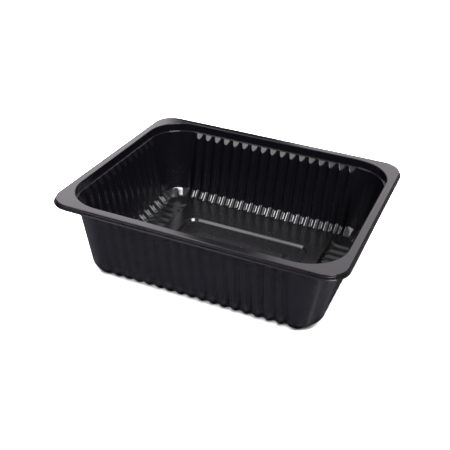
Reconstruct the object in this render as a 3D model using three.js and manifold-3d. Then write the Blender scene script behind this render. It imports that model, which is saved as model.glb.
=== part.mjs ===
// A sealable food tray: one sheet of black polypropylene drawn into a deep ribbed bowl with a
// flat sealing flange. Units are millimetres, +Z is up, X runs along the long sides, and the
// origin is the centre of the footprint on the plane that the tray stands on.

import * as THREE from 'three';
import Module from 'manifold-3d';
import { mergeVertices } from 'three/addons/utils/BufferGeometryUtils.js';

// ---- driving dimensions ----

const SHEET = 0.7;
const HEIGHT = 60;

// The corners of every level turn about the same four upright lines.
const CORNER_AXIS = { x: 66.8, y: 49.4 };

// Half lengths along X and Y of the inner face, level by level.
const OPENING = { x: 95, y: 78 };
const WALL_TOP = { x: 94, y: 77 };
const WALL_FOOT = { x: 84.9, y: 68.7 };
const FLOOR_EDGE = { x: 79.1, y: 62.9 };

const STEP_DEPTH = 6.2;
const STEP_DRAFT = 0.1;
const FOOT_RISE = 5.8;

// The flange is flat from the opening out to this rounded rectangle, and a skirt turns down from it.
const FLANGE = { x: 100, y: 83.5, corner: 14.5 };
const SKIRT = { step: 0.5, shelf: 0.3, stepDrop: 1.2, lip: 1.8, lipDrop: 2.8 };

// Ribs stand inwards from the walls, over the foot and, on the short sides, along the floor.
const RIB = { crest: 3.0, base: 5.4, depth: 1.9, slopeDrop: 3.2 };
const LONG_RIBS = { count: 17, pitch: 8.0 };
const SHORT_RIBS = { count: 12, pitch: 8.4 };
const CORNER_RIB = { crestAngle: 12, baseAngle: 19, depth: 2.2 };
const FLOOR_RIB = { width: 4.6, height: 1.3, slope: 1.1, innerEnd: 63.1, outerEnd: 79.5 };
const CORNER_BEAD = { x: 62.2, y: 46.2, bend: 8 };

// The floor rises to a plateau, with a recess in it and a pad in the recess.
const FLOOR_STEP = 1.6;
const PLATEAU = { x: 61.6, y: 59.8, corner: 3, run: 0.8 };
const RECESS = { x: 49.2, y: 31.0, corner: 7.5, run: 1.6 };
const PAD = { x: 36.4, y: 16.0, corner: 3, run: 2.8 };

// ---- resolution ----

const SMOOTH_ARC = 8;
const BEAD_ARC = 6;
const RIB_END_ARC = 5;
const SIDE_POINTS = 3;
const FACET_ANGLE = 18;
const CORNER_ANGLES = [0, 9, FACET_ANGLE, 45 - CORNER_RIB.baseAngle, 45 - CORNER_RIB.crestAngle];

// Vertices nearer than this are one, and the hollow is cut through to this height above the flange.
const MERGE_DISTANCE = 1e-5;
const OVERCUT = 1;

// ---- outlines: closed loops of points, each with its place s from 0 to 4 round the loop ----

// Side j is followed by corner j: +X side, +X+Y corner, +Y side, -X+Y corner and so on.
const SIDES = [
  { along: 'y', across: 'x', out: 1, run: 1, ribs: SHORT_RIBS },
  { along: 'x', across: 'y', out: 1, run: -1, ribs: LONG_RIBS },
  { along: 'y', across: 'x', out: -1, run: -1, ribs: SHORT_RIBS },
  { along: 'x', across: 'y', out: -1, run: 1, ribs: LONG_RIBS },
];
const CORNERS = [
  { x: 1, y: 1 },
  { x: -1, y: 1 },
  { x: -1, y: -1 },
  { x: 1, y: -1 },
];

const radians = THREE.MathUtils.degToRad;

// How far a rib's edge moves along the wall between the inner face and the outer one.
function edgeShift(depth, run) {
  return SHEET * Math.tan(Math.atan2(depth, run) / 2);
}

const RIB_SHIFT = edgeShift(RIB.depth, (RIB.base - RIB.crest) / 2);

// A point on side j, at a distance `at` from its middle in the direction of travel.
function sidePoint(j, at, half, inset, z) {
  const side = SIDES[j];
  const reach = CORNER_AXIS[side.along];
  const point = { z, s: j + 0.25 + (0.25 * at) / reach };
  point[side.along] = side.run * at;
  point[side.across] = side.out * (half[side.across] - inset);
  return point;
}

// The distance from a corner's axis at an angle, for a round corner or one cut by a flat facet.
function cornerReach(angle, faceted) {
  if (!faceted) return 1;
  const fromSide = Math.min(angle, 90 - angle);
  if (fromSide <= FACET_ANGLE) return 1 / Math.cos(radians(fromSide));
  const facet = Math.cos(radians(45 - FACET_ANGLE)) / Math.cos(radians(FACET_ANGLE));
  return facet / Math.cos(radians(45 - fromSide));
}

// A point of corner j, `angle` degrees past the end of side j.
function cornerPoint(j, angle, half, inset, z, faceted) {
  const turn = j % 2 === 0 ? angle : 90 - angle;
  const reach = cornerReach(angle, faceted);
  const radiusX = (half.x - CORNER_AXIS.x) * reach - inset;
  const radiusY = (half.y - CORNER_AXIS.y) * reach - inset;
  return {
    x: CORNERS[j].x * (CORNER_AXIS.x + radiusX * Math.cos(radians(turn))),
    y: CORNERS[j].y * (CORNER_AXIS.y + radiusY * Math.sin(radians(turn))),
    z,
    s: j + 0.5 + (0.5 * angle) / 90,
  };
}

// The loop of one level of the ribbed wall. `depth` is how far the ribs stand in at that level.
function ribbedLoop({ half, z, depth = 0, cornerDepth = 0, faceted = false, shift = 0 }) {
  const loop = [];
  for (let j = 0; j < 4; j += 1) {
    const { count, pitch } = SIDES[j].ribs;
    for (let k = 0; k < count; k += 1) {
      const middle = (k - (count - 1) / 2) * pitch;
      const base = RIB.base / 2 - shift;
      const crest = RIB.crest / 2 - shift;
      loop.push(sidePoint(j, middle - base, half, 0, z));
      loop.push(sidePoint(j, middle - crest, half, depth, z));
      loop.push(sidePoint(j, middle + crest, half, depth, z));
      loop.push(sidePoint(j, middle + base, half, 0, z));
    }
    const last = CORNER_ANGLES.length - 1;
    CORNER_ANGLES.forEach((angle, i) => {
      loop.push(cornerPoint(j, angle, half, i === last ? cornerDepth : 0, z, faceted));
    });
    [...CORNER_ANGLES].reverse().forEach((angle, i) => {
      loop.push(cornerPoint(j, 90 - angle, half, i === 0 ? cornerDepth : 0, z, faceted));
    });
  }
  return loop;
}

// A plain rounded rectangle with a radius of its own.
function plainLoop({ x, y, corner, z }) {
  const loop = [];
  for (let j = 0; j < 4; j += 1) {
    const side = SIDES[j];
    const half = { x, y };
    const reach = half[side.along] - corner;
    for (let k = 1; k <= SIDE_POINTS; k += 1) {
      const share = (2 * k) / (SIDE_POINTS + 1) - 1;
      const point = { z, s: j + 0.25 + 0.25 * share };
      point[side.along] = side.run * share * reach;
      point[side.across] = side.out * half[side.across];
      loop.push(point);
    }
    for (let k = 0; k <= SMOOTH_ARC; k += 1) {
      const share = k / SMOOTH_ARC;
      const turn = radians(90 * (j % 2 === 0 ? share : 1 - share));
      loop.push({
        x: CORNERS[j].x * (x - corner + corner * Math.cos(turn)),
        y: CORNERS[j].y * (y - corner + corner * Math.sin(turn)),
        z,
        s: j + 0.5 + 0.5 * share,
      });
    }
  }
  return loop;
}

// A rounded rectangle round the opening, whose corners turn about the common axes.
function openingLoop(half, z) {
  const corner = half.x - CORNER_AXIS.x;
  return plainLoop({ ...half, corner, z });
}

// ---- solids from stacked loops ----

// Join two loops with triangles, always stepping on whichever loop is behind.
function stitch(triangles, lower, upper) {
  const at = (loop, i) => loop[i % loop.length];
  const place = (loop, i) => at(loop, i).s + 4 * Math.floor(i / loop.length);
  let a = 0;
  let b = 0;
  while (a < lower.length || b < upper.length) {
    const stepLower = place(lower, a + 1) - place(upper, b);
    const stepUpper = place(upper, b + 1) - place(lower, a);
    const useLower = b >= upper.length || (a < lower.length && stepLower <= stepUpper);
    if (useLower) {
      triangles.push(at(lower, a), at(lower, a + 1), at(upper, b));
      a += 1;
    } else {
      triangles.push(at(lower, a), at(upper, b + 1), at(upper, b));
      b += 1;
    }
  }
}

function cap(triangles, loop, facingUp) {
  const contour = loop.map((p) => new THREE.Vector2(p.x, p.y));
  THREE.ShapeUtils.triangulateShape(contour, []).forEach(([i, j, k]) => {
    triangles.push(loop[i], loop[facingUp ? j : k], loop[facingUp ? k : j]);
  });
}

// The closed surface that runs up a stack of loops, outside facing outwards.
function stack(loops) {
  const triangles = [];
  cap(triangles, loops[0], false);
  for (let i = 0; i + 1 < loops.length; i += 1) stitch(triangles, loops[i], loops[i + 1]);
  cap(triangles, loops[loops.length - 1], true);
  const position = triangles.flatMap((p) => [p.x, p.y, p.z]);
  const geometry = new THREE.BufferGeometry();
  geometry.setAttribute('position', new THREE.Float32BufferAttribute(position, 3));
  return geometry;
}

const wasm = await Module();
wasm.setup();

function solid(geometry) {
  const bare = geometry.clone();
  bare.deleteAttribute('normal');
  bare.deleteAttribute('uv');
  const merged = mergeVertices(bare, MERGE_DISTANCE);
  return new wasm.Manifold(
    new wasm.Mesh({
      numProp: 3,
      vertProperties: new Float32Array(merged.attributes.position.array),
      triVerts: new Uint32Array(merged.index.array),
    }),
  );
}

function toGeometry(body) {
  const mesh = body.getMesh();
  const geometry = new THREE.BufferGeometry();
  geometry.setAttribute('position', new THREE.BufferAttribute(new Float32Array(mesh.vertProperties), 3));
  geometry.setIndex(new THREE.BufferAttribute(new Uint32Array(mesh.triVerts), 1));
  geometry.computeVertexNormals();
  return geometry;
}

// ---- the floor: plateau, recess and pad, from the middle outwards ----

// One sloping step of the floor, as its inner and outer loops, both moved outwards by `grow`.
function floorStep({ x, y, corner, run }, innerLevel, outerLevel, grow) {
  const half = run / 2;
  return [
    plainLoop({ x: x - half + grow, y: y - half + grow, corner, z: innerLevel }),
    plainLoop({ x: x + half + grow, y: y + half + grow, corner, z: outerLevel }),
  ];
}

// The floor's loops with its low parts at height `low`. The underside's steps lie a little further
// in under a raised part and a little further out under a sunk one, as a bent sheet's do.
function floorLoops(low, underside) {
  const high = low + FLOOR_STEP;
  const shift = (step) => (underside ? edgeShift(FLOOR_STEP, step.run) : 0);
  return [
    ...floorStep(PAD, high, low, -shift(PAD)),
    ...floorStep(RECESS, low, high, shift(RECESS)),
    ...floorStep(PLATEAU, high, low, -shift(PLATEAU)),
  ];
}

// ---- the ribs along the floor ----

// A low bar with sloping sides that follows a plan outline, its top at the height `top`.
function floorBar(shape, top) {
  const geometry = new THREE.ExtrudeGeometry(shape, {
    depth: FLOOR_RIB.height,
    curveSegments: RIB_END_ARC,
    bevelEnabled: true,
    bevelThickness: FLOOR_RIB.height,
    bevelSize: FLOOR_RIB.slope,
    bevelOffset: -FLOOR_RIB.slope,
    bevelSegments: 1,
  });
  geometry.translate(0, 0, top - 2 * FLOOR_RIB.height);
  return geometry;
}

// A straight rib from the foot of a short side to its round end beside the plateau.
function straightRibShape(signX, y, halfWidth) {
  const shape = new THREE.Shape();
  const inner = FLOOR_RIB.innerEnd + halfWidth;
  shape.moveTo(signX * FLOOR_RIB.outerEnd, y - halfWidth);
  shape.lineTo(signX * FLOOR_RIB.outerEnd, y + halfWidth);
  shape.lineTo(signX * inner, y + halfWidth);
  shape.absarc(signX * inner, y, halfWidth, Math.PI / 2, -Math.PI / 2, signX < 0);
  return shape;
}

// The outermost rib bends round the corner and runs into the long side.
function cornerBeadShape(signX, signY, halfWidth) {
  const { x, y, bend } = CORNER_BEAD;
  const centre = { x: x + bend, y: y + bend };
  const points = [];
  const arc = (radius, from, to) => {
    for (let k = 0; k <= BEAD_ARC; k += 1) {
      const angle = radians(from + ((to - from) * k) / BEAD_ARC);
      points.push([centre.x + radius * Math.cos(angle), centre.y + radius * Math.sin(angle)]);
    }
  };
  points.push([FLOOR_RIB.outerEnd, y + halfWidth], [FLOOR_RIB.outerEnd, y - halfWidth]);
  arc(bend + halfWidth, 270, 180);
  points.push([x - halfWidth, FLOOR_EDGE.y + SHEET], [x + halfWidth, FLOOR_EDGE.y + SHEET]);
  arc(bend - halfWidth, 180, 270);
  return new THREE.Shape(points.map(([px, py]) => new THREE.Vector2(signX * px, signY * py)));
}

// Every floor rib as one solid. The underside's are narrower and lower by the sheet's thickness.
function floorRibs(underside) {
  const shrink = underside ? edgeShift(FLOOR_RIB.height, FLOOR_RIB.slope) : 0;
  const halfWidth = FLOOR_RIB.width / 2 - shrink;
  const top = (underside ? 0 : SHEET) + FLOOR_RIB.height;
  const bars = [];
  for (const signX of [1, -1]) {
    for (let k = 1; k < SHORT_RIBS.count - 1; k += 1) {
      const y = (k - (SHORT_RIBS.count - 1) / 2) * SHORT_RIBS.pitch;
      bars.push(floorBar(straightRibShape(signX, y, halfWidth), top));
    }
    for (const signY of [1, -1]) bars.push(floorBar(cornerBeadShape(signX, signY, halfWidth), top));
  }
  return bars.map(solid).reduce((all, bar) => all.add(bar));
}

// ---- the tray ----

const STEP_FLOOR = HEIGHT - STEP_DEPTH;
const DRAFT = {
  x: (WALL_TOP.x - WALL_FOOT.x) / (STEP_FLOOR - SHEET - FOOT_RISE),
  y: (WALL_TOP.y - WALL_FOOT.y) / (STEP_FLOOR - SHEET - FOOT_RISE),
};

function wallAt(z) {
  const down = STEP_FLOOR - z;
  return { x: WALL_TOP.x - DRAFT.x * down, y: WALL_TOP.y - DRAFT.y * down };
}

function grown(half, by) {
  return { x: half.x + by, y: half.y + by };
}

// The hollow of the tray: floor, foot, ribbed wall, ledge and step, open at the top.
function cavityLoops() {
  const ribTop = STEP_FLOOR - RIB.slopeDrop;
  const { depth } = RIB;
  return [
    ...floorLoops(SHEET, false),
    ribbedLoop({ half: FLOOR_EDGE, z: SHEET, depth, cornerDepth: CORNER_RIB.depth, faceted: true }),
    ribbedLoop({ half: WALL_FOOT, z: SHEET + FOOT_RISE, depth }),
    ribbedLoop({ half: wallAt(ribTop), z: ribTop, depth }),
    ribbedLoop({ half: WALL_TOP, z: STEP_FLOOR }),
    openingLoop(grown(OPENING, -STEP_DRAFT), STEP_FLOOR + STEP_DRAFT),
    openingLoop(OPENING, HEIGHT),
    openingLoop(grown(OPENING, STEP_DRAFT), HEIGHT + OVERCUT),
  ];
}

// The outer skin: underside, foot, ribbed wall, then out under the flange, round the skirt's lip
// and back over the flat of the flange.
function skinLoops() {
  const bend = SHEET * Math.tan(Math.PI / 8);
  const ribTop = STEP_FLOOR - RIB.slopeDrop - bend;
  const { depth } = RIB;
  const shift = RIB_SHIFT;
  const flange = (out, z) =>
    plainLoop({ x: FLANGE.x + out, y: FLANGE.y + out, corner: FLANGE.corner + out, z });
  const { step, shelf, stepDrop, lip, lipDrop } = SKIRT;
  return [
    ...floorLoops(0, true),
    ribbedLoop({
      half: grown(FLOOR_EDGE, bend),
      z: 0,
      depth,
      cornerDepth: CORNER_RIB.depth,
      faceted: true,
      shift,
    }),
    ribbedLoop({ half: grown(WALL_FOOT, SHEET), z: SHEET + FOOT_RISE - bend, depth, shift }),
    ribbedLoop({ half: grown(wallAt(ribTop), SHEET), z: ribTop, depth, shift }),
    ribbedLoop({ half: grown(WALL_TOP, SHEET), z: STEP_FLOOR - SHEET, shift }),
    openingLoop(grown(OPENING, SHEET), STEP_FLOOR - SHEET),
    openingLoop(grown(OPENING, SHEET), HEIGHT - SHEET),
    flange(-SHEET, HEIGHT - SHEET),
    flange(step - SHEET, HEIGHT - stepDrop - SHEET),
    flange(lip - 2 * SHEET, HEIGHT - lipDrop - SHEET),
    flange(lip, HEIGHT - lipDrop - SHEET),
    flange(lip, HEIGHT - lipDrop),
    flange(lip - SHEET, HEIGHT - lipDrop),
    flange(step + shelf, HEIGHT - stepDrop),
    flange(step, HEIGHT - stepDrop),
    flange(0, HEIGHT),
  ];
}

function buildTray() {
  const skin = solid(stack(skinLoops())).subtract(floorRibs(true));
  const cavity = solid(stack(cavityLoops())).subtract(floorRibs(false));
  const material = new THREE.MeshStandardMaterial({
    color: 0x1a1a1d,
    roughness: 0.22,
    metalness: 0,
  });
  const mesh = new THREE.Mesh(toGeometry(skin.subtract(cavity)), material);
  mesh.name = 'tray';
  return mesh;
}

const container = new THREE.Group();
container.add(buildTray());

export default container;
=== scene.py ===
"""A sealable food tray of glossy black plastic, drawn from one sheet, on a pale studio floor.

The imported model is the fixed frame. One piece of drawn sheet stands for its node, and every size is worked
out from the frame's box and a few driving dimensions in millimetres.
"""

import logging
import math
from collections.abc import Callable, Iterable, Sequence
from dataclasses import dataclass
from enum import Enum

import bmesh
import bpy
from mathutils import Matrix, Vector


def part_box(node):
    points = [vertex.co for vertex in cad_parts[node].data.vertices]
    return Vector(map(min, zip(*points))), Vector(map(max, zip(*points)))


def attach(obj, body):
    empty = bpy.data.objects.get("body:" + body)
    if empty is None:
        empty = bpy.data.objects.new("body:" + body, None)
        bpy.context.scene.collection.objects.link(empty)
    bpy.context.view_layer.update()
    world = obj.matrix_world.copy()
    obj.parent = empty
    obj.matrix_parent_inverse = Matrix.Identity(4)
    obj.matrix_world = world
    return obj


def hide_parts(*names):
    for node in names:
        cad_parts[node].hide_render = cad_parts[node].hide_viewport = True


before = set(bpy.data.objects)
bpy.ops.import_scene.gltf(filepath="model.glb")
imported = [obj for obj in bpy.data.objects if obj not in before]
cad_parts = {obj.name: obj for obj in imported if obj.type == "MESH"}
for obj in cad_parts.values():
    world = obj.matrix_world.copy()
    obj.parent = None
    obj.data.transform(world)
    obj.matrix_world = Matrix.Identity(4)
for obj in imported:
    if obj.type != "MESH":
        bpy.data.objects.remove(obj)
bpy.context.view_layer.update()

MM = 0.001

# How near points have to be to merge, and heights to count as one level, in millimetres.
MERGE_DISTANCE = 0.002
SAME_LEVEL = 0.05

# The sockets that a Mix node has for colours.
MIX_FIRST, MIX_SECOND, MIX_RESULT = 6, 7, 2

Colour = tuple[float, float, float, float]

log = logging.getLogger("tray")


# ---- small shapes of curves ----


def ramp(share: float, ease: float) -> float:
    """A rise from 0 to 1 with a straight middle and a round start and end.

    Args:
        share: How far along the rise, which is clamped to 0 and 1.
        ease: The part of the rise that each round end takes, up to 0.5.

    Returns:
        The height, from 0 to 1.
    """
    u = min(max(share, 0.0), 1.0)
    if u > 0.5:
        return 1.0 - ramp(1.0 - u, ease)
    if u < ease:
        return u * u / (2 * ease * (1 - ease))
    return (u - ease / 2) / (1 - ease)


def joined(a: float, b: float, blend: float) -> float:
    """The larger of two lifts, rounded over where they cross. Where one is nothing it adds nothing.

    Args:
        a: One lift.
        b: The other lift.
        blend: The difference within which the two are rounded into each other.

    Returns:
        The joined lift.
    """
    reach = min(blend, 2 * min(a, b))
    if reach <= 0:
        return max(a, b)
    near = max(reach - abs(a - b), 0.0) / reach
    return max(a, b) + near * near * reach / 4


def trimmed(depth: float, limit: float, blend: float) -> float:
    """A depth held under a limit, and never below nothing.

    Args:
        depth: The depth.
        limit: The most that it may be.
        blend: The difference within which the two are rounded into each other.

    Returns:
        The trimmed depth.
    """
    near = max(blend - abs(depth - limit), 0.0) / blend
    return max(min(depth, limit) - near * near * blend / 4, 0.0)


def between(a: Vector, b: Vector, share: float) -> Vector:
    """The point at a share of the way from a to b."""
    return a + (b - a) * share


def spaced(count: int) -> list[float]:
    """Shares from 0 to 1 in `count` equal steps, both ends included."""
    return [k / count for k in range(count + 1)]


@dataclass(frozen=True)
class Bend:
    """One corner of a section: where it is, how far from it the rounding starts, and the rounding's steps."""

    point: Vector
    reach: float = 0.0
    steps: int = 3


def rounded_section(bends: Sequence[Bend]) -> list[Vector]:
    """The points of a section whose inner corners are rounded.

    Args:
        bends: The corners in order. The first and the last stay sharp.

    Returns:
        The section's points, with each rounding as a short curve.
    """
    points = [bends[0].point]
    for before, bend, after in zip(bends, bends[1:], bends[2:]):
        start = bend.point + (before.point - bend.point).normalized() * bend.reach
        end = bend.point + (after.point - bend.point).normalized() * bend.reach
        for share in spaced(bend.steps):
            inward = between(start, bend.point, share)
            outward = between(bend.point, end, share)
            points.append(between(inward, outward, share))
    return points + [bends[-1].point]


@dataclass(frozen=True)
class RoundedRectangle:
    """A plan outline about the tray's middle: half length, half width and corner radius."""

    half_x: float
    half_y: float
    corner: float

    def grown(self, by: float) -> "RoundedRectangle":
        """The outline moved outwards all round, its corners' centres kept."""
        return RoundedRectangle(self.half_x + by, self.half_y + by, self.corner + by)

    def distance(self, x: float, y: float) -> float:
        """How far a point lies outside the outline.

        Args:
            x: The point's place along the length.
            y: The point's place along the width.

        Returns:
            The distance, less than 0 inside.
        """
        dx = abs(x) - (self.half_x - self.corner)
        dy = abs(y) - (self.half_y - self.corner)
        outside = math.hypot(max(dx, 0.0), max(dy, 0.0))
        return outside + min(max(dx, dy), 0.0) - self.corner

    def corner_point(self, degrees: float) -> Vector:
        """The corner's point at an angle from the +X direction.

        Args:
            degrees: The angle, from 0 on the short side to 90 on the long side.

        Returns:
            The point, at height 0.
        """
        turn = math.radians(degrees)
        x = self.half_x - self.corner + self.corner * math.cos(turn)
        y = self.half_y - self.corner + self.corner * math.sin(turn)
        return Vector((x, y, 0))

    def quarter(self, side_steps: int, corner_steps: int) -> list[Vector]:
        """The outline's quarter from the +X axis, round the corner, to the +Y axis.

        Args:
            side_steps: The steps of each straight stretch.
            corner_steps: The steps of the corner.

        Returns:
            The points in order, at height 0.
        """
        centre = Vector((self.half_x - self.corner, self.half_y - self.corner, 0))
        first = [Vector((self.half_x, centre.y * share, 0)) for share in spaced(side_steps)[:-1]]
        arc = [self.corner_point(90 * share) for share in spaced(corner_steps)]
        last = [Vector((centre.x * (1 - share), self.half_y, 0)) for share in spaced(side_steps)[1:]]
        return first + arc + last


# ---- bmesh work ----


def lay_rows(bm: bmesh.types.BMesh, rows: Sequence[Sequence[Vector]]) -> None:
    """Draws a strip of sheet: a first line of edges, extruded on to each further row.

    Args:
        bm: The mesh that the strip is added to.
        rows: Rows of equal length, each the points that the extruded line is set on.
    """
    line = [bm.verts.new(point) for point in rows[0]]
    edges = [bm.edges.new(pair) for pair in zip(line, line[1:])]
    for row in rows[1:]:
        made = set(bmesh.ops.extrude_edge_only(bm, edges=edges)["geom"])
        line = [next(e.other_vert(v) for e in v.link_edges if e.other_vert(v) in made) for v in line]
        for vert, point in zip(line, row):
            vert.co = point
        edges = [bm.edges.get(pair) for pair in zip(line, line[1:])]


def complete_quarter(bm: bmesh.types.BMesh) -> None:
    """Mirrors a quarter across both upright planes and merges what meets.

    Args:
        bm: The mesh of the +X +Y quarter.
    """
    for axis in ("X", "Y"):
        whole = bm.verts[:] + bm.edges[:] + bm.faces[:]
        bmesh.ops.mirror(bm, geom=whole, axis=axis, merge_dist=MERGE_DISTANCE)
    bmesh.ops.remove_doubles(bm, verts=bm.verts[:], dist=MERGE_DISTANCE)


def fill_flat(bm: bmesh.types.BMesh, inside: Callable[[Vector], bool]) -> None:
    """Fills the level gap between the open edges whose ends are inside a region.

    Args:
        bm: The mesh.
        inside: Whether a point is in the region.
    """
    edges = [e for e in bm.edges if e.is_boundary and all(inside(v.co) for v in e.verts)]
    bmesh.ops.triangle_fill(bm, use_beauty=True, edges=edges, normal=(0, 0, 1))


def linked_object(bm: bmesh.types.BMesh, name: str) -> bpy.types.Object:
    """Turns a bmesh into an object of the scene, and frees the bmesh.

    Args:
        bm: The mesh, in metres.
        name: The name of the object and of its mesh.

    Returns:
        The object, at the origin.
    """
    mesh = bpy.data.meshes.new(name)
    bm.to_mesh(mesh)
    bm.free()
    obj = bpy.data.objects.new(name, mesh)
    bpy.context.scene.collection.objects.link(obj)
    return obj


# ---- shader graphs ----


def grey(value: float) -> Colour:
    """A grey as a colour."""
    return (value, value, value, 1.0)


class Link:
    """A node's output, with the arithmetic that shader maths needs."""

    def __init__(self, graph: "Graph", socket: bpy.types.NodeSocket) -> None:
        """Wraps one output socket of a graph."""
        self.graph = graph
        self.socket = socket

    def _maths(self, operation: str, first: "Link | float", second: "Link | float") -> "Link":
        """Adds one Math node on two values."""
        return self.graph.add("ShaderNodeMath", {"operation": operation}, {0: first, 1: second})

    def __add__(self, other: "Link | float") -> "Link":
        """The sum."""
        return self._maths("ADD", self, other)

    def __sub__(self, other: "Link | float") -> "Link":
        """The difference."""
        return self._maths("SUBTRACT", self, other)

    def __rsub__(self, other: "Link | float") -> "Link":
        """The difference from a plain number."""
        return self._maths("SUBTRACT", other, self)

    def __mul__(self, other: "Link | float") -> "Link":
        """The product."""
        return self._maths("MULTIPLY", self, other)

    __radd__ = __add__
    __rmul__ = __mul__


class Graph:
    """The node graph of a material or a world, emptied and built up node by node."""

    def __init__(self, owner: bpy.types.Material | bpy.types.World) -> None:
        """Starts an empty graph on its owner."""
        owner.use_nodes = True
        self.owner = owner
        self.tree = owner.node_tree
        self.tree.nodes.clear()

    def add(
        self,
        kind: str,
        settings: dict[str, object],
        inputs: dict[str | int, object],
        output: int | str = 0,
    ) -> Link:
        """Adds one node.

        Args:
            kind: The node's type.
            settings: Attributes of the node, set first. Those under "stops" are a colour ramp's.
            inputs: Values or links for its sockets, by name or number.
            output: The output that the returned link wraps.

        Returns:
            The link from that output.
        """
        node = self.tree.nodes.new(kind)
        for key, value in settings.items():
            if key == "stops":
                self._set_stops(node.color_ramp, value)
            else:
                setattr(node, key, value)
        for key, value in inputs.items():
            if isinstance(value, Link):
                self.tree.links.new(value.socket, node.inputs[key])
            else:
                node.inputs[key].default_value = value
        return Link(self, node.outputs[output])

    def axis(self, vector: Link, name: str) -> Link:
        """One of a vector's X, Y and Z."""
        return self.add("ShaderNodeSeparateXYZ", {}, {"Vector": vector}, name)

    def noise(self, place: Link, scale: float, detail: float = 1.0) -> Link:
        """A noise texture's grey over places."""
        return self.add("ShaderNodeTexNoise", {}, {"Vector": place, "Scale": scale, "Detail": detail}, "Fac")

    def stepped(self, value: Link, stops: Iterable[tuple[float, Colour]]) -> Link:
        """A value looked up in a colour ramp."""
        return self.add("ShaderNodeValToRGB", {"stops": stops}, {"Fac": value}, "Color")

    def mixed(self, factor: Link, first: Link | Colour, second: Link | Colour) -> Link:
        """The mix of two colours."""
        colours = {"Factor": factor, MIX_FIRST: first, MIX_SECOND: second}
        return self.add("ShaderNodeMix", {"data_type": "RGBA"}, colours, MIX_RESULT)

    def finish(self, kind: str, surface: Link) -> None:
        """Adds the output node and gives it the surface."""
        output = self.tree.nodes.new(kind)
        self.tree.links.new(surface.socket, output.inputs["Surface"])

    @staticmethod
    def _set_stops(colour_ramp: bpy.types.ColorRamp, stops: Iterable[tuple[float, Colour]]) -> None:
        """Sets a colour ramp's stops.

        Args:
            colour_ramp: The ramp, as new.
            stops: The position and colour of each stop, in order.
        """
        stops = list(stops)
        while len(colour_ramp.elements) < len(stops):
            colour_ramp.elements.new(1.0)
        for element, (position, colour) in zip(colour_ramp.elements, stops):
            element.position = position
            element.color = colour


# ---- finishes ----


@dataclass(frozen=True)
class BlackPolypropylene:
    """Glossy black sheet plastic, faintly mottled, with streaks down the walls, orange peel and a soft sag.

    The floor's flats, below `floor_top`, are a little hazier than the rest. The scales are a noise's per
    metre, and depths and heights are in metres. A slope is how far a face turns up or down, from 0 upright to
    1 level, and a pair of them is where an effect starts and where it ends or is full.
    """

    colour: Colour = (0.0032, 0.0030, 0.0042, 1)
    worn: Colour = (0.0046, 0.0043, 0.0060, 1)
    refraction: float = 1.5
    roughness: float = 0.15
    haze: float = 0.05
    floor_haze: float = 0.11
    floor_top: float = 0.004
    flat_slope: tuple[float, float] = (0.9, 0.97)
    mottle_scale: float = 90.0
    mottle_detail: float = 3.0
    peel_scale: float = 900.0
    peel_depth: float = 0.000004
    sag_scale: float = 55.0
    sag_depth: float = 0.0001
    streak_scale: tuple[float, float, float] = (420.0, 420.0, 9.0)
    streak_detail: float = 2.0
    streak_depth: float = 0.00001
    wall_slope: tuple[float, float] = (0.25, 0.5)
    relief_strength: float = 0.5

    def material(self) -> bpy.types.Material:
        """Builds the material's nodes.

        Returns:
            The material.
        """
        g = Graph(bpy.data.materials.new("black_polypropylene"))
        place = g.add("ShaderNodeTexCoord", {}, {}, "Object")
        mottle = g.noise(place, self.mottle_scale, self.mottle_detail)
        drawn = g.add("ShaderNodeMapping", {}, {"Vector": place, "Scale": self.streak_scale})
        streaks = g.noise(drawn, 1.0, self.streak_detail)
        slope = self.slope(g)
        relief = {
            "Height": self.relief(g, place, streaks, slope),
            "Distance": 1.0,
            "Strength": self.relief_strength,
        }
        plastic = {
            "Base Color": g.mixed(mottle, self.colour, self.worn),
            "Roughness": self.roughness_over(g, place, mottle, streaks, slope),
            "IOR": self.refraction,
            "Normal": g.add("ShaderNodeBump", {}, relief, "Normal"),
        }
        g.finish("ShaderNodeOutputMaterial", g.add("ShaderNodeBsdfPrincipled", {}, plastic, "BSDF"))
        return g.owner

    def slope(self, g: Graph) -> Link:
        """How far the face turns up or down, from 0 upright to 1 level."""
        facing = g.add("ShaderNodeNewGeometry", {}, {}, "Normal")
        return g.add("ShaderNodeMath", {"operation": "ABSOLUTE"}, {0: g.axis(facing, "Z")})

    def roughness_over(self, g: Graph, place: Link, mottle: Link, streaks: Link, slope: Link) -> Link:
        """The roughness over the sheet.

        Args:
            g: The material's graph.
            place: The place on the tray.
            mottle: The mottle's grey.
            streaks: The streaks' grey.
            slope: How far the face turns up or down.

        Returns:
            The roughness.
        """
        start, full = self.flat_slope
        level = g.stepped(slope, [(start, grey(0)), (full, grey(1))])
        low = g.add("ShaderNodeMath", {"operation": "LESS_THAN"}, {0: g.axis(place, "Z"), 1: self.floor_top})
        hazy = self.roughness + (mottle - 0.5) * self.haze + (streaks - 0.5) * self.haze
        return hazy + level * low * self.floor_haze

    def relief(self, g: Graph, place: Link, streaks: Link, slope: Link) -> Link:
        """The height of the fine relief: orange peel and sag all over, and streaks on the walls.

        Args:
            g: The material's graph.
            place: The place on the tray.
            streaks: The streaks' grey.
            slope: How far the face turns up or down.

        Returns:
            The height in metres.
        """
        start, end = self.wall_slope
        wall = g.stepped(slope, [(start, grey(1)), (end, grey(0))])
        peel = g.noise(place, self.peel_scale) * self.peel_depth
        return peel + g.noise(place, self.sag_scale) * self.sag_depth + streaks * wall * self.streak_depth


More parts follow.
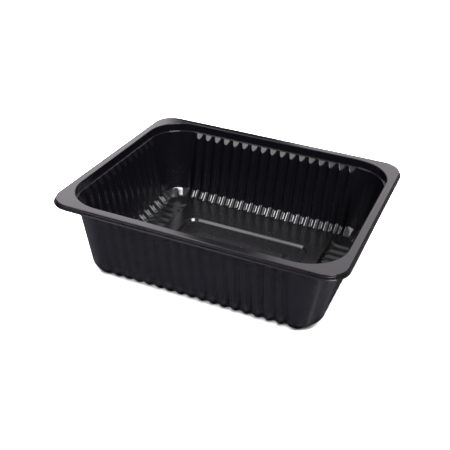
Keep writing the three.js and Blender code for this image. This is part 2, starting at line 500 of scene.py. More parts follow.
@dataclass(frozen=True)
class PaleFloorPaint:
    """The studio floor's plain matt paint."""

    shade: float = 0.85
    roughness: float = 0.9

    def material(self) -> bpy.types.Material:
        """Builds the material's nodes.

        Returns:
            The material.
        """
        g = Graph(bpy.data.materials.new("pale_floor"))
        paint = {"Base Color": grey(self.shade), "Roughness": self.roughness, "Specular IOR Level": 0.0}
        g.finish("ShaderNodeOutputMaterial", g.add("ShaderNodeBsdfPrincipled", {}, paint, "BSDF"))
        return g.owner


# ---- the drawn sheet, in millimetres ----


@dataclass(frozen=True)
class RibRow:
    """The row of ribs along a side: the middle of one of them and their pitch."""

    middle: float
    pitch: float

    def nearest(self, along: float) -> float:
        """The middle of the rib nearest to a place along the side."""
        return self.middle + round((along - self.middle) / self.pitch) * self.pitch

    def away(self, along: float) -> float:
        """How far a place along the side is from the middle of the nearest rib."""
        return abs((along - self.middle + self.pitch / 2) % self.pitch - self.pitch / 2)


@dataclass(frozen=True)
class TraySizes:
    """The driving sizes that the tray's stretches of sheet share.

    `opening` holds the half length and half width where the flange ends, and `corner_axis` the place of the
    upright axis that the wall's corner turns about.
    """

    height: float
    lip_x: float
    lip_y: float
    gauge: float = 0.5
    opening: tuple[float, float] = (95.0, 78.0)
    step_depth: float = 6.2
    corner_axis: tuple[float, float] = (66.8, 49.4)
    short_ribs: RibRow = RibRow(middle=4.2, pitch=8.4)
    long_ribs: RibRow = RibRow(middle=0.0, pitch=8.0)

    @property
    def ledge_z(self) -> float:
        """The height of the ledge."""
        return self.height - self.step_depth

    @property
    def base(self) -> float:
        """The height of the sheet's upper face where its underside stands on the ground."""
        return self.gauge


@dataclass(frozen=True)
class Rim:
    """The lip, the stepped skirt, the flange and the upright step down to the ledge.

    The skirt's places are measured outwards from the flange's flat, and the step's from the opening. `shelf`
    holds the places at which the skirt's shelf starts and ends. The laps are how far the flange's and the
    ledge's flats reach in.
    """

    sizes: TraySizes
    flange_corner: float = 14.5
    lip: float = 1.8
    lip_drop: float = 2.8
    lip_root: float = 0.95
    shelf_drop: float = 1.2
    shelf: tuple[float, float] = (0.8, 0.5)
    flange_edge: float = 0.36
    flange_lap: float = 1.2
    step_draft: float = 0.15
    ledge_lap: float = 0.42
    side_steps: int = 5
    corner_steps: int = 16

    @staticmethod
    def bend(outward: float, z: float, reach: float = 0.0, steps: int = 3) -> Bend:
        """A corner of a section, by its distance outside the section's outline and its height."""
        return Bend(Vector((outward, 0, z)), reach, steps)

    def swept(self, section: Sequence[Bend], outline: RoundedRectangle) -> list[list[Vector]]:
        """A section carried round a quarter of an outline.

        Args:
            section: The section's corners.
            outline: The outline that the section's distances are measured from.

        Returns:
            One row of points for each point of the rounded section.
        """
        rows = []
        for point in rounded_section(section):
            places = outline.grown(point.x).quarter(self.side_steps, self.corner_steps)
            rows.append([place + Vector((0, 0, point.z)) for place in places])
        return rows

    def rows(self) -> list[list[Vector]]:
        """Rows from the lip's edge up the skirt, over the flange and down the step to the ledge.

        Returns:
            The rows, each from the +X axis to the +Y axis.
        """
        sizes = self.sizes
        top = sizes.height
        lip_z = top - self.lip_drop
        shelf_z = top - self.shelf_drop
        shelf_outer, shelf_inner = self.shelf
        skirt = [
            self.bend(self.lip, lip_z),
            self.bend(self.lip_root, lip_z, reach=0.14),
            self.bend(shelf_outer, shelf_z, reach=0.1, steps=2),
            self.bend(shelf_inner, shelf_z, reach=0.12, steps=2),
            self.bend(self.flange_edge, top, reach=0.34, steps=4),
            self.bend(-self.flange_lap, top),
        ]
        step = [
            self.bend(self.flange_lap, top),
            self.bend(0, top, reach=0.5, steps=4),
            self.bend(-self.step_draft, sizes.ledge_z, reach=0.22),
            self.bend(-self.ledge_lap, sizes.ledge_z),
        ]
        flange = RoundedRectangle(sizes.lip_x - self.lip, sizes.lip_y - self.lip, self.flange_corner)
        open_x, open_y = sizes.opening
        opening = RoundedRectangle(open_x, open_y, open_x - sizes.corner_axis[0])
        return self.swept(skirt, flange) + self.swept(step, opening)


@dataclass(frozen=True)
class FloorStep:
    """A step of the floor round an outline.

    It starts `start` outside the outline and is full `run` further in. `ease` is the part of the run that
    each of its round ends takes.
    """

    outline: RoundedRectangle
    start: float
    run: float
    ease: float

    def outer_edge(self) -> RoundedRectangle:
        """The outline at which the step starts."""
        return self.outline.grown(self.start)

    def share(self, x: float, y: float) -> float:
        """The share of its full height that the step has at a place."""
        return ramp((self.start - self.outline.distance(x, y)) / self.run, self.ease)


@dataclass(frozen=True)
class TrayFloor:
    """The floor as a height over its plan, in the +X +Y quarter.

    A raised plateau has a recess in it, and the recess a pad. Round bars stand on the floor beside the
    plateau: the short side's ribs, and a bead that bends round the corner. The rings are the rows of points
    round the recess's and the pad's outlines, by how far outside the outline they lie.
    """

    sizes: TraySizes
    step: float = 2.1
    plateau: FloorStep = FloorStep(RoundedRectangle(61.6, 59.8, 3.0), start=0.55, run=1.3, ease=0.35)
    recess: FloorStep = FloorStep(RoundedRectangle(49.2, 31.0, 7.5), start=0.95, run=1.9, ease=0.16)
    pad: FloorStep = FloorStep(RoundedRectangle(36.4, 16.0, 3.0), start=2.0, run=4.0, ease=0.3)
    bar_height: float = 1.3
    bar_half: float = 2.45
    bar_rise: float = 2.1
    bar_blend: float = 0.3
    rib_end: float = 65.4
    bead: tuple[float, float] = (62.2, 46.2)
    bead_bend: float = 8.0
    recess_rings: tuple[float, ...] = (1.6, 0.97, 0.81, 0.65, 0.2, -0.2, -0.65, -0.8, -0.96, -1.6)
    pad_rings: tuple[float, ...] = (2.4, 2.0, 1.4, 0.8, 0.2, -0.4, -1.0, -1.5, -2.0, -2.4)
    side_steps: int = 3
    corner_steps: int = 8

    def bar_lift(self, away: float) -> float:
        """How much a round bar lifts the floor, by distance from its middle line."""
        return self.bar_height * ramp((self.bar_half - away) / self.bar_rise, 0.5)

    def rib_lift(self, x: float, y: float) -> float:
        """How much the short side's ribs, the last of them one pitch from the bead, lift the floor."""
        ribs = self.sizes.short_ribs
        middle = min(ribs.nearest(y), self.bead[1] - ribs.pitch)
        return self.bar_lift(math.hypot(y - middle, min(x - self.rib_end, 0.0)))

    def bead_lift(self, x: float, y: float) -> float:
        """How much the bead that bends round the corner lifts the floor.

        Args:
            x: The place along the length.
            y: The place along the width.

        Returns:
            The lift.
        """
        bead_x, bead_y = self.bead
        centre_x, centre_y = bead_x + self.bead_bend, bead_y + self.bead_bend
        if x >= centre_x:
            away = abs(y - bead_y)
        elif y >= centre_y:
            away = abs(x - bead_x)
        else:
            away = abs(math.hypot(x - centre_x, y - centre_y) - self.bead_bend)
        return self.bar_lift(away)

    def z(self, x: float, y: float) -> float:
        """The height of the floor's upper face.

        Args:
            x: The place along the length.
            y: The place along the width.

        Returns:
            The height above the ground.
        """
        steps = self.step * (self.plateau.share(x, y) - self.recess.share(x, y) + self.pad.share(x, y))
        bars = joined(self.rib_lift(x, y), self.bead_lift(x, y), self.bar_blend)
        return self.sizes.base + joined(steps, bars, self.bar_blend)

    def lifted(self, point: Vector) -> Vector:
        """A plan point raised to the floor."""
        return Vector((point.x, point.y, self.z(point.x, point.y)))

    def rows(self) -> list[list[Vector]]:
        """Rows from the plateau's flat down into the recess and up on to the pad.

        Returns:
            The rows, each from the +X axis to the +Y axis.
        """
        rings = [self.recess.outline.grown(by) for by in self.recess_rings]
        rings += [self.pad.outline.grown(by) for by in self.pad_rings]
        return [[self.lifted(p) for p in ring.quarter(self.side_steps, self.corner_steps)] for ring in rings]


class Stretch(Enum):
    """The stretches of a quarter of the ribbed wall, from the +X axis to the +Y axis."""

    SHORT_SIDE = "short side"
    CORNER = "corner"
    LONG_SIDE = "long side"


@dataclass(frozen=True)
class Station:
    """One upright line of the ribbed wall, as seen from above.

    `along` is its distance from the tray's middle on a side, and `turn` its angle in a corner. `rib`,
    `foot_rib` and `gusset` are shares of full depth: of a rib on the wall, of the rounder rib that it
    becomes on the foot, and of the rib that the foot has in each corner.
    """

    stretch: Stretch
    along: float = 0.0
    turn: float = 0.0
    rib: float = 0.0
    foot_rib: float = 0.0
    gusset: float = 0.0


@dataclass(frozen=True)
class Level:
    """One level of the ribbed wall: the half length and half width of its plain face, and its height."""

    half_x: float
    half_y: float
    z: float


@dataclass(frozen=True)
class RibbedWall:
    """The ribbed wall and its sloping foot, from the ledge down to the edge of the floor.

    A rib starts in a short sloping end under the ledge, and on the foot it turns into a deeper and rounder
    one, which loses some of its depth again at the toe. `foot_flank` gives the places, out from a foot
    rib's middle, at which its crest ends, its flank gets steepest, its flank eases off and its root is
    reached. Each corner of the foot has a flat facet, and a short rib, the gusset, in the facet's middle.

    Upright lines stand at `rib_offsets` on both sides of each rib's middle and at `facet_turns` in the
    corner. A stretch of wall over `tall_drop` high has more levels at `slope_drops` below its top and at
    `wall_shares` of the rest, and one over `foot_drop` high at `foot_shares` of its height.
    """

    sizes: TraySizes
    floor: TrayFloor
    ledge: float = 1.0
    ledge_lap: float = 0.35
    foot: tuple[float, float] = (84.9, 68.7)
    foot_rise: float = 6.0
    floor_edge: tuple[float, float] = (79.1, 62.9)
    floor_lap: float = 0.6
    floor_blend: float = 0.35

    rib_half: float = 2.6
    rib_squareness: float = 2.6
    rib_fillet: tuple[float, float] = (2.5, 2.8)
    rib_depth: float = 2.1
    rib_slope: float = 4.2
    rib_blend: float = 0.3
    foot_flank: tuple[float, float, float, float] = (0.7, 1.75, 2.25, 3.5)
    foot_rib_depth: float = 2.65
    foot_rib_from: float = 3.0
    foot_rib_ease: float = 0.3
    toe_depth: float = 0.95
    toe_share: float = 0.25
    toe_ease: float = 0.25

    facet_turn: float = 22.0
    gusset_root: float = 9.0
    gusset_depth: float = 1.2
    gusset_ease: float = 0.4
    corner_fade: float = 6.0
    corner_gap: float = 0.3

    rib_offsets: tuple[float, ...] = (0.0, 0.8, 1.5, 2.0, 2.3, 2.5, 2.8, 3.3)
    facet_turns: tuple[float, ...] = (0.0, 4.0, 9.0, 14.0, 18.0, 22.0, 26.0)
    gusset_steps: int = 6
    tall_drop: float = 20.0
    slope_drops: tuple[float, ...] = (0.4, 0.9, 1.4, 1.9, 2.4, 2.9, 3.3, 3.6, 3.9, 4.3, 5.0)
    wall_shares: tuple[float, ...] = (0.33, 0.7)
    foot_drop: float = 2.0
    foot_shares: tuple[float, ...] = (0.34, 0.67, 0.86)

    @property
    def foot_z(self) -> float:
        """The height at which the foot starts."""
        return self.sizes.base + self.foot_rise

    # -- upright lines --

    def rib_section(self, away: float) -> float:
        """A wall rib's section: a squarish crest with a filleted root.

        Args:
            away: The distance from the rib's middle.

        Returns:
            The share of the rib's full depth.
        """
        start, end = self.rib_fillet
        crest = math.sqrt(1 - (min(away, start) / self.rib_half) ** self.rib_squareness)
        if away < start:
            return crest
        left = max(end - away, 0.0) / (end - start)
        return crest * left**2

    def foot_rib_section(self, away: float) -> float:
        """A foot rib's section: a flat crest and steep, rounded flanks.

        Args:
            away: The distance from the rib's middle.

        Returns:
            The share of the rib's full depth.
        """
        crest, steep, easing, root = self.foot_flank
        drop = max(min(away, steep) - crest, 0.0) ** 2 / (2 * (steep - crest))
        drop += max(min(away, easing) - steep, 0.0)
        left = max(root - max(away, easing), 0.0)
        drop += (root - easing) / 2 - left**2 / (2 * (root - easing))
        return 1 - drop / ((steep - crest) / 2 + easing - steep + (root - easing) / 2)

    def gusset_share(self, turn: float) -> float:
        """The gusset's share of its full depth at an angle in the corner."""
        return ramp(1 - abs(turn - 45) / self.gusset_root, self.gusset_ease)

    def side_places(self, ribs: RibRow, end: float) -> list[float]:
        """Places along half a side, close together on the flanks of its ribs.

        Args:
            ribs: The side's ribs.
            end: Where the corner starts.

        Returns:
            The places in order, out from the middle of the side.
        """
        digits = 4
        places = {0.0}
        for k in range(-1, math.ceil(end / ribs.pitch) + 1):
            for offset in (*self.rib_offsets, ribs.pitch / 2):
                places.add(round(ribs.middle + k * ribs.pitch + offset, digits))
                places.add(round(ribs.middle + k * ribs.pitch - offset, digits))
        return sorted(place for place in places if 0 <= place < end - self.corner_gap)

    def side_station(self, stretch: Stretch, along: float) -> Station:
        """The upright line at a place along a side.

        Args:
            stretch: The side.
            along: The distance from the middle of the side.

        Returns:
            The upright line.
        """
        ribs = self.sizes.short_ribs if stretch is Stretch.SHORT_SIDE else self.sizes.long_ribs
        away = ribs.away(along)
        return Station(stretch, along, 0.0, self.rib_section(away), self.foot_rib_section(away))

    def corner_station(self, turn: float) -> Station:
        """The upright line at an angle in the corner, where what the side's end has of a rib fades out.

        Args:
            turn: The angle, from 0 on the short side to 90 on the long side.

        Returns:
            The upright line.
        """
        axis_x, axis_y = self.sizes.corner_axis
        if turn < 45:
            side = self.side_station(Stretch.SHORT_SIDE, axis_y)
        else:
            side = self.side_station(Stretch.LONG_SIDE, axis_x)
        left = max(1 - min(turn, 90 - turn) / self.corner_fade, 0.0)
        return Station(
            Stretch.CORNER, 0.0, turn, side.rib * left, side.foot_rib * left, self.gusset_share(turn)
        )

    def stations(self) -> list[Station]:
        """Every upright line of a quarter of the wall.

        Returns:
            The lines in order, from the +X axis to the +Y axis.
        """
        axis_x, axis_y = self.sizes.corner_axis
        short_places = self.side_places(self.sizes.short_ribs, axis_y)
        long_places = self.side_places(self.sizes.long_ribs, axis_x)
        gusset_start = 45 - self.gusset_root
        half = [*self.facet_turns]
        half += [gusset_start + self.gusset_root * share for share in spaced(self.gusset_steps)]
        turns = half + [90 - turn for turn in reversed(half[:-1])]
        stations = [self.side_station(Stretch.SHORT_SIDE, y) for y in short_places]
        stations += [self.corner_station(turn) for turn in turns]
        return stations + [self.side_station(Stretch.LONG_SIDE, x) for x in reversed(long_places)]

    # -- levels --

    def levels(self) -> list[Level]:
        """The wall's levels from the ledge's flat down over the foot to the edge of the floor.

        Returns:
            The levels in order, from the top.
        """
        base, ledge_z = self.sizes.base, self.sizes.ledge_z
        top_x, top_y = (half - self.ledge for half in self.sizes.opening)
        edge_x, edge_y = self.floor_edge
        bends = [
            Bend(Vector((top_x + self.ledge_lap, top_y + self.ledge_lap, ledge_z))),
            Bend(Vector((top_x, top_y, ledge_z)), reach=0.4),
            Bend(Vector((*self.foot, self.foot_z)), reach=0.9),
            Bend(Vector((edge_x, edge_y, base)), reach=0.5),
            Bend(Vector((edge_x - self.floor_lap, edge_y - self.floor_lap, base))),
        ]
        corners = rounded_section(bends)[:-1]
        levels = []
        for upper, lower in zip(corners, corners[1:]):
            levels.append(Level(*upper))
            levels += [Level(*between(upper, lower, share)) for share in self.extra_shares(upper.z - lower.z)]
        return levels + [Level(*corners[-1])]

    def extra_shares(self, drop: float) -> list[float]:
        """Shares of a straight stretch at which more levels go, closest together on the ribs' sloping ends.

        Args:
            drop: The stretch's height.

        Returns:
            The shares in order, from the top.
        """
        if drop > self.tall_drop:
            shares = [place / drop for place in self.slope_drops]
            return shares + [shares[-1] + (1 - shares[-1]) * share for share in self.wall_shares]
        return [*self.foot_shares] if drop > self.foot_drop else []

    # -- points --

    def facet_reach(self, turn: float, faceting: float) -> float:
        """A corner's reach from its axis at an angle.

        Args:
            turn: The angle, from 0 on the short side to 90 on the long side.
            faceting: From 0, round, to 1, cut by a flat facet.

        Returns:
            The reach as a share of the round corner's.
        """
        from_side = min(turn, 90 - turn)
        if from_side <= self.facet_turn:
            cut = 1 / math.cos(math.radians(from_side))
        else:
            across = math.cos(math.radians(45 - self.facet_turn)) / math.cos(math.radians(self.facet_turn))
            cut = across / math.cos(math.radians(45 - from_side))
        return 1 + (cut - 1) * faceting

    def rib_inset(self, station: Station, z: float, low: float) -> float:
        """How far a side's rib stands in from the wall's plain face.

        Args:
            station: The upright line.
            z: The height.
            low: How far down the foot that is, from 0 at its top to 1 at the floor.

        Returns:
            The inset.
        """
        sloping_end = self.rib_depth * max(self.sizes.ledge_z - z, 0.0) / self.rib_slope
        rib = trimmed(station.rib * self.rib_depth, sloping_end, self.rib_blend)
        toe = self.toe_depth * ramp((low - 1 + self.toe_share) / self.toe_share, self.toe_ease)
        foot_rib = station.foot_rib * (self.foot_rib_depth - toe)
        turned = ramp((self.foot_z + self.foot_rib_from - z) / self.foot_rib_from, self.foot_rib_ease)
        return rib + (foot_rib - rib) * turned

    def point(self, station: Station, level: Level) -> Vector:
        """The wall's point on an upright line at a level, ribs, gusset and facet included.

        Args:
            station: The upright line.
            level: The level.

        Returns:
            The point. On the foot it is no lower than the floor's own relief.
        """
        low = min(max((self.foot_z - level.z) / self.foot_rise, 0.0), 1.0)
        inset = self.rib_inset(station, level.z, low) + station.gusset * self.gusset_depth * low
        if station.stretch is Stretch.SHORT_SIDE:
            point = Vector((level.half_x - inset, station.along, level.z))
        elif station.stretch is Stretch.LONG_SIDE:
            point = Vector((station.along, level.half_y - inset, level.z))
        else:
            axis_x, axis_y = self.sizes.corner_axis
            reach = self.facet_reach(station.turn, low)
            turn = math.radians(station.turn)
            x = axis_x + ((level.half_x - axis_x) * reach - inset) * math.cos(turn)
            y = axis_y + ((level.half_y - axis_y) * reach - inset) * math.sin(turn)
            point = Vector((x, y, level.z))
        if level.z < self.foot_z:
            base = self.sizes.base
            point.z = base + joined(level.z - base, self.floor.z(point.x, point.y) - base, self.floor_blend)
        return point

    def rows(self) -> list[list[Vector]]:
        """Rows from the ledge down the ribbed wall and over the foot.

        Returns:
            The rows, each from the +X axis to the +Y axis.
        """
        stations = self.stations()
        return [[self.point(station, level) for station in stations] for level in self.levels()]


@dataclass(frozen=True)
class Gutter:
    """The stretch of floor from the foot of the wall in to the plateau, and the plateau's step.

    Every row has one point on each upright line of the wall. The collar is a smooth outline just inside the
    feet of the ribs. `corner_travel` is the length that the corner's lines count for where the corner's and
    the long side's lines share out the way round the plateau's corner.
    """

    wall: RibbedWall
    floor: TrayFloor
    collar_inset: float = 2.12
    collar_gusset: float = 0.25
    collar_steps: int = 2
    corner_travel: float = 20.3
    floor_shares: tuple[float, ...] = (0.16, 0.36, 0.56, 0.7, 0.79, 0.87, 0.94, 1.0)
    step_insets: tuple[float, ...] = (0.0, 0.4, 0.8, 1.2, 1.7)

    def plateau_place(self, station: Station) -> Vector:
        """The place on the plateau's outer edge that an upright line of the wall is joined to.

        Args:
            station: The upright line.

        Returns:
            The place, at height 0.
        """
        edge = self.floor.plateau.outer_edge()
        axis_x, axis_y = self.wall.sizes.corner_axis
        if station.stretch is Stretch.SHORT_SIDE:
            return Vector((edge.half_x, station.along, 0))
        if station.stretch is Stretch.CORNER:
            travel = self.corner_travel * station.turn / 90
        else:
            travel = self.corner_travel + axis_x - station.along
        whole = self.corner_travel + axis_x - (edge.half_x - edge.corner)
        rise = edge.half_y - edge.corner - axis_y
        arc = edge.corner * math.pi / 2
        way = travel / whole * (rise + arc)
        if way <= rise:
            return Vector((edge.half_x, axis_y + way, 0))
        if way < rise + arc:
            return edge.corner_point(90 * (way - rise) / arc)
        return Vector((station.along, edge.half_y, 0))

    def collar(self) -> list[Vector]:
        """The collar's points.

        Returns:
            The points in order, from the +X axis to the +Y axis.
        """
        last = self.wall.levels()[-1]
        level = Level(last.half_x - self.collar_inset, last.half_y - self.collar_inset, last.z)
        points = []
        for station in self.wall.stations():
            gusset = station.gusset * self.collar_gusset
            plain = Station(station.stretch, station.along, station.turn, gusset=gusset)
            points.append(self.wall.point(plain, level))
        return points

    def moved_in(self, place: Vector, by: float) -> Vector:
        """A place on the plateau's outer edge moved in towards the middle, square to the edge.

        Args:
            place: The place.
            by: How far it moves.

        Returns:
            The moved place.
        """
        edge = self.floor.plateau.outer_edge()
        centre = Vector((edge.half_x - edge.corner, edge.half_y - edge.corner, 0))
        outward = Vector((max(place.x - centre.x, 0.0), max(place.y - centre.y, 0.0), 0)).normalized()
        return place - outward * by

    def floor_rows(self) -> list[list[Vector]]:
        """Rows of floor from the foot of the wall in to the plateau's outer edge.

        Returns:
            The rows, each from the +X axis to the +Y axis.
        """
        ring = self.wall.rows()[-1]
        collar = self.collar()
        edge = [self.plateau_place(station) for station in self.wall.stations()]
        rows = [ring]
        for share in spaced(self.collar_steps)[1:]:
            rows.append([self.floor.lifted(between(a, b, share)) for a, b in zip(ring, collar)])
        for share in self.floor_shares:
            rows.append([self.floor.lifted(between(a, b, share)) for a, b in zip(collar, edge)])
        return rows

    def step_rows(self) -> list[list[Vector]]:
        """Rows up the plateau's step, from its outer edge to its flat top.

        Returns:
            The rows, each from the +X axis to the +Y axis.
        """
        edge = [self.plateau_place(station) for station in self.wall.stations()]
        return [[self.floor.lifted(self.moved_in(place, by)) for place in edge] for by in self.step_insets]


@dataclass(frozen=True)
class DrawnTray:
    """The tray: one sheet, drawn a quarter at a time from its stretches and mirrored.

    The stretches are the upper face of the sheet. Its thickness is added on the side that faces down.
    """

    sizes: TraySizes

    def upper_face(self) -> bmesh.types.BMesh:
        """Draws the sheet's upper face, and fills the flats of the ledge, the plateau and the pad.

        Returns:
            The mesh, in millimetres.
        """
        floor = TrayFloor(self.sizes)
        wall = RibbedWall(self.sizes, floor)
        gutter = Gutter(wall, floor)
        rim = Rim(self.sizes)
        bm = bmesh.new()
        for rows in (rim.rows(), wall.rows(), gutter.floor_rows(), gutter.step_rows(), floor.rows()):
            lay_rows(bm, rows)
        complete_quarter(bm)
        ledge_z = self.sizes.ledge_z
        plateau_z = self.sizes.base + floor.step
        pad_edge = floor.pad.outer_edge()
        fill_flat(bm, lambda p: abs(p.z - ledge_z) < SAME_LEVEL)
        fill_flat(bm, lambda p: abs(p.z - plateau_z) < SAME_LEVEL and pad_edge.distance(p.x, p.y) < 0)
        fill_flat(bm, lambda p: abs(p.z - plateau_z) < SAME_LEVEL and pad_edge.distance(p.x, p.y) > 0)
        return bm

    def build(self) -> bpy.types.Object:
        """Builds the sheet, smooth and with its thickness.

        Returns:
            The sheet's object, in metres, its upper face facing up.
        """
        bm = self.upper_face()
        bmesh.ops.recalc_face_normals(bm, faces=bm.faces[:])
        if sum(f.normal.z * f.calc_area() for f in bm.faces) < 0:
            bmesh.ops.reverse_faces(bm, faces=bm.faces[:])
        bmesh.ops.scale(bm, vec=(MM, MM, MM), verts=bm.verts[:])
        sheet = linked_object(bm, "drawn_tray")
        sheet.data.shade_smooth()
        thickness = sheet.modifiers.new("gauge", "SOLIDIFY")
        thickness.thickness = self.sizes.gauge * MM
        thickness.offset = -1
        return sheet

    def dress(self, sheet: bpy.types.Object) -> None:
        """Gives the sheet its plastic."""
        sheet.data.materials.append(BlackPolypropylene().material())


# ---- studio ----


@dataclass(frozen=True)
class Softbox:
    """A rectangular light that faces the tray.

    Its direction is in degrees, azimuth from +Y towards +X and elevation above the floor, its size in metres,
    and its strength the radiance of its face. One that lights the floor alone keeps off the plastic.
    """

    name: str
    azimuth: float
    elevation: float
    width: float
    height: float
    radiance: float
    tint: tuple[float, float, float] = (1.0, 1.0, 1.0)
    floor_only: bool = False
    distance: float = 2.5

    def set_up(self, lit: bpy.types.Collection) -> None:
        """Adds the light to the scene.

        Args:
            lit: The collection of what it lights. All else still throws its shadow.
        """
        azimuth, elevation = math.radians(self.azimuth), math.radians(self.elevation)
        level = self.distance * math.cos(elevation)
        height = self.distance * math.sin(elevation)
        place = Vector((level * math.sin(azimuth), level * math.cos(azimuth), height))
        light = bpy.data.lights.new(self.name, "AREA")
        light.shape = "RECTANGLE"
        light.size, light.size_y = self.width, self.height
        light.energy = self.radiance * math.pi * self.width * self.height
        light.color = self.tint
        lamp = bpy.data.objects.new(self.name, light)
        lamp.location = place
        lamp.rotation_euler = (-place).to_track_quat("-Z", "Y").to_euler()
        lamp.visible_camera = False
        lamp.light_linking.receiver_collection = lit
        bpy.context.scene.collection.objects.link(lamp)


def floor_fill(name: str, azimuth: float) -> Softbox:
    """One of the large lights that keep the floor pale all round the tray."""
    return Softbox(name, azimuth, 62.0, 1.2, 1.2, 26.0, floor_only=True)


@dataclass(frozen=True)
class Surroundings:
    """What the plastic mirrors besides the softboxes: a dim room over a patchy ground with a shaded part.

    A height is a direction's, from -1 straight down to 1 straight up, and an azimuth is in degrees from +Y
    towards +X. The room's stops are a height and a grey, and the ground's an azimuth and a colour. Between
    the heights of `room_from` the ground turns into the room. The shade is full at the azimuths where
    `shaded_turns` has 1, and ends between the heights of `shade_to`.
    """

    backdrop: float = 1.0
    room: tuple[tuple[float, float], ...] = (
        (-0.52, 0.03), (0.17, 0.05), (0.34, 0.07), (0.57, 0.07), (0.74, 0.8), (0.85, 1.2),
    )
    room_from: tuple[float, float] = (-0.62, -0.52)
    ground: tuple[tuple[float, tuple[float, float, float]], ...] = (
        (-180, (0.09, 0.095, 0.12)), (-137, (0.09, 0.09, 0.115)), (-100, (0.20, 0.20, 0.23)),
        (-68, (0.17, 0.17, 0.19)), (-45, (0.01, 0.01, 0.01)), (5, (0.01, 0.01, 0.01)),
        (32, (0.20, 0.20, 0.21)), (60, (0.28, 0.28, 0.30)), (80, (0.16, 0.17, 0.19)),
        (88, (0.50, 0.52, 0.55)), (96, (0.60, 0.62, 0.66)), (106, (0.17, 0.18, 0.21)),
        (150, (0.10, 0.105, 0.13)), (180, (0.09, 0.095, 0.12)),
    )
    shade: float = 0.01
    shaded_turns: tuple[tuple[float, float], ...] = ((-125, 0.0), (-105, 1.0), (50, 1.0), (70, 0.0))
    shade_to: tuple[float, float] = (-0.78, -0.71)

    @staticmethod
    def by_height(graph: Graph, height: Link, stops: Iterable[tuple[float, float]]) -> Link:
        """A grey by a direction's height."""
        return graph.stepped(height * 0.5 + 0.5, [(0.5 + at / 2, grey(value)) for at, value in stops])

    @staticmethod
    def by_azimuth(graph: Graph, turn: Link, stops: Iterable[tuple[float, Colour]]) -> Link:
        """A colour by a direction's azimuth, the turn being in radians."""
        return graph.stepped(turn * (0.5 / math.pi) + 0.5, [(0.5 + at / 360, colour) for at, colour in stops])

    def set_up(self) -> None:
        """Builds the world's nodes."""
        world = bpy.data.worlds.new("surroundings")
        bpy.context.scene.world = world
        g = Graph(world)
        direction = g.add("ShaderNodeTexCoord", {}, {}, "Generated")
        x, y, z = (g.axis(direction, name) for name in "XYZ")
        turn = g.add("ShaderNodeMath", {"operation": "ARCTAN2"}, {0: x, 1: y})
        ground = self.by_azimuth(g, turn, [(at, (*colour, 1)) for at, colour in self.ground])
        shaded = self.by_azimuth(g, turn, [(at, grey(share)) for at, share in self.shaded_turns])
        shade_start, shade_end = self.shade_to
        below = self.by_height(g, z, [(shade_start, 1), (shade_end, 0)])
        ground = g.mixed(shaded * below, ground, grey(self.shade))
        room_start, room_full = self.room_from
        above = self.by_height(g, z, [(room_start, 0), (room_full, 1)])
        mirrored = g.mixed(above, ground, self.by_height(g, z, self.room))
        seen = g.add("ShaderNodeLightPath", {}, {}, "Is Camera Ray")
        colour = g.mixed(seen, mirrored, grey(self.backdrop))
        light = g.add("ShaderNodeBackground", {}, {"Color": colour, "Strength": 1.0}, "Background")
        g.finish("ShaderNodeOutputWorld", light)


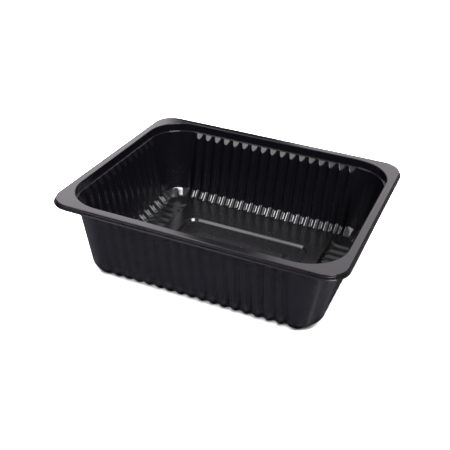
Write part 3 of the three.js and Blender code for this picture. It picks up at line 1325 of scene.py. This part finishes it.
@dataclass(frozen=True)
class Studio:
    """The pale floor, the soft lights and the surroundings that the plastic mirrors."""

    floor_half: float = 3.0
    softboxes: tuple[Softbox, ...] = (
        Softbox("back_left_softbox", -40, 28.5, 0.98, 1.45, 2.4, tint=(1.0, 0.95, 1.0)),
        Softbox("back_right_softbox", -0.75, 28.5, 1.21, 1.45, 1.65, tint=(1.0, 0.94, 1.0)),
        Softbox("front_left_softbox", -140, 34.5, 1.64, 1.17, 5.0),
        Softbox("front_right_softbox", 124, 44, 1.2, 0.84, 26.0),
        floor_fill("floor_fill_front", 180),
        floor_fill("floor_fill_right", 90),
        floor_fill("floor_fill_back", 0),
        floor_fill("floor_fill_left", -90),
    )

    def set_up(self, sheet: bpy.types.Object) -> None:
        """Builds the floor, the lights and the world.

        Args:
            sheet: The tray's sheet, which the softboxes light.
        """
        plastic = bpy.data.collections.new("plastic")
        plastic.objects.link(sheet)
        ground = bpy.data.collections.new("ground")
        ground.objects.link(self.build_floor())
        for softbox in self.softboxes:
            softbox.set_up(ground if softbox.floor_only else plastic)
        Surroundings().set_up()
        bpy.context.scene.view_settings.view_transform = "Standard"

    def build_floor(self) -> bpy.types.Object:
        """Lays the floor under the tray.

        Returns:
            The floor's object, which the plastic doesn't mirror.
        """
        bm = bmesh.new()
        bmesh.ops.create_grid(bm, x_segments=1, y_segments=1, size=self.floor_half)
        floor = linked_object(bm, "floor")
        floor.data.materials.append(PaleFloorPaint().material())
        floor.visible_glossy = False
        return floor


@dataclass(frozen=True)
class PhotoCamera:
    """The camera at the photograph's viewing angle.

    Its angles are in degrees, its distance and target in metres, its sensor in millimetres, and its focal
    length in pixels of the photograph's frame.
    """

    azimuth: float = 21.893
    elevation: float = 30.603
    roll: float = 2.960
    distance: float = 0.47206
    target: tuple[float, float, float] = (0.016177, -0.058197, 0.06)
    focal_pixels: float = 745.886
    frame_pixels: float = 450.0
    sensor: float = 36.0
    nearest: float = 0.01
    furthest: float = 50.0

    def set_up(self) -> None:
        """Adds the camera and makes it the scene's."""
        azimuth, elevation = math.radians(self.azimuth), math.radians(self.elevation)
        level = math.cos(elevation)
        back = Vector((math.sin(azimuth) * level, -math.cos(azimuth) * level, math.sin(elevation)))
        camera = bpy.data.cameras.new("photo_camera")
        camera.sensor_width = self.sensor
        camera.lens = self.focal_pixels / self.frame_pixels * self.sensor
        camera.clip_start = self.nearest
        camera.clip_end = self.furthest
        holder = bpy.data.objects.new("photo_camera", camera)
        holder.location = Vector(self.target) + back * self.distance
        roll = Matrix.Rotation(math.radians(self.roll), 3, "Z")
        holder.rotation_euler = ((-back).to_track_quat("-Z", "Y").to_matrix() @ roll).to_euler()
        bpy.context.scene.collection.objects.link(holder)
        bpy.context.scene.camera = holder


def main() -> None:
    """Builds the tray and its studio, and reports the piece."""
    logging.basicConfig(level=logging.INFO)
    _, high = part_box("tray")
    tray = DrawnTray(TraySizes(height=high.z / MM, lip_x=high.x / MM, lip_y=high.y / MM))
    sheet = tray.build()
    tray.dress(sheet)
    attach(sheet, "root")
    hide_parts("tray")
    log.info("built %s with %d faces", sheet.name, len(sheet.data.polygons))
    PhotoCamera().set_up()
    Studio().set_up(sheet)


if __name__ == "__main__":
    main()
